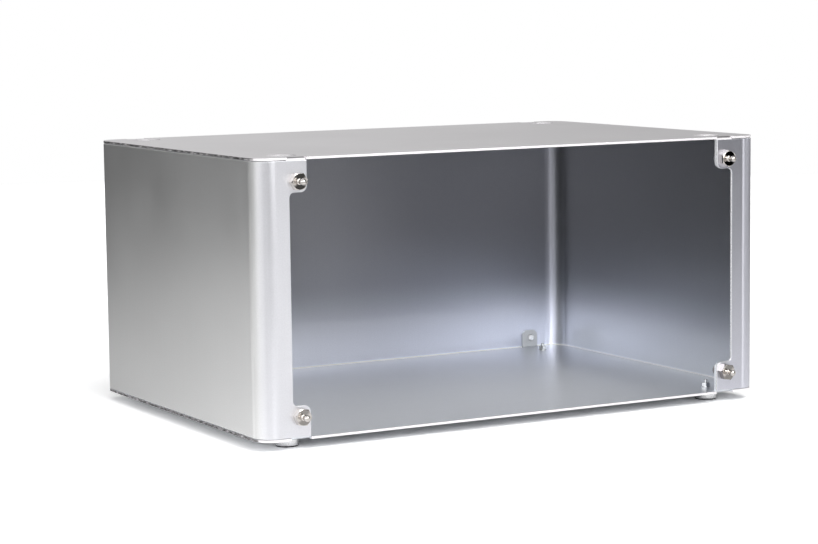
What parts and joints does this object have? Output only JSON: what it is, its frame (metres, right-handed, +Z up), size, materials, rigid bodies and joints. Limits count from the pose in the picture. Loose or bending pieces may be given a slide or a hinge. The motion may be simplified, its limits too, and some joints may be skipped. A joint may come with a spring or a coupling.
{
  "type": "shoe box",
  "caption": "Open-front shoe box of bent aluminium sheet with large vertical corner radii, ball studs for a push-on cover, round feet and matching stacking holes.",
  "frame": {"origin": "middle of the footprint of the whole object, on the surface it stands on", "axes": "+Z up, -Y out of the open front, +X to the right as seen from the front"},
  "size_m": [0.36, 0.2512, 0.1729],
  "materials": {
    "anodised_sheet": "fine satin, clear anodised sheet",
    "polished_nickel": "polished nickel plate",
    "nickel_hardware": "nickel plated",
    "steel_hardware": "bright zinc plated steel",
    "turned_aluminium": "fine turned, clear anodised",
    "rivet_aluminium": "plain drawn aluminium",
    "rubber_pad": "matt black rubber"
  },
  "bodies": {
    "root": {"ball_stud_lower_left": "polished_nickel", "ball_stud_lower_right": "polished_nickel", "ball_stud_upper_left": "polished_nickel", "ball_stud_upper_right": "polished_nickel", "bottom_plate": "anodised_sheet", "cap_nut_lower_left": "nickel_hardware", "cap_nut_lower_right": "nickel_hardware", "cap_nut_upper_left": "nickel_hardware", "cap_nut_upper_right": "nickel_hardware", "floor_nut_front_left": "steel_hardware", "floor_nut_front_right": "steel_hardware", "floor_nut_rear_left": "steel_hardware", "floor_nut_rear_right": "steel_hardware", "floor_washer_front_left": "steel_hardware", "floor_washer_front_right": "steel_hardware", "floor_washer_rear_left": "steel_hardware", "floor_washer_rear_right": "steel_hardware", "foot_front_left": "turned_aluminium", "foot_front_right": "turned_aluminium", "foot_pad_front_left": "rubber_pad", "foot_pad_front_right": "rubber_pad", "foot_pad_rear_left": "rubber_pad", "foot_pad_rear_right": "rubber_pad", "foot_rear_left": "turned_aluminium", "foot_rear_right": "turned_aluminium", "foot_screw_front_left": "steel_hardware", "foot_screw_front_right": "steel_hardware", "foot_screw_rear_left": "steel_hardware", "foot_screw_rear_right": "steel_hardware", "lock_washer_lower_left": "nickel_hardware", "lock_washer_lower_right": "nickel_hardware", "lock_washer_upper_left": "nickel_hardware", "lock_washer_upper_right": "nickel_hardware", "rear_rivet_lower_left": "rivet_aluminium", "rear_rivet_lower_right": "rivet_aluminium", "rear_rivet_upper_left": "rivet_aluminium", "rear_rivet_upper_right": "rivet_aluminium", "stud_washer_lower_left": "nickel_hardware", "stud_washer_lower_right": "nickel_hardware", "stud_washer_upper_left": "nickel_hardware", "stud_washer_upper_right": "nickel_hardware", "top_plate": "anodised_sheet", "wrap_panel": "anodised_sheet"}
  },
  "joints": []
}
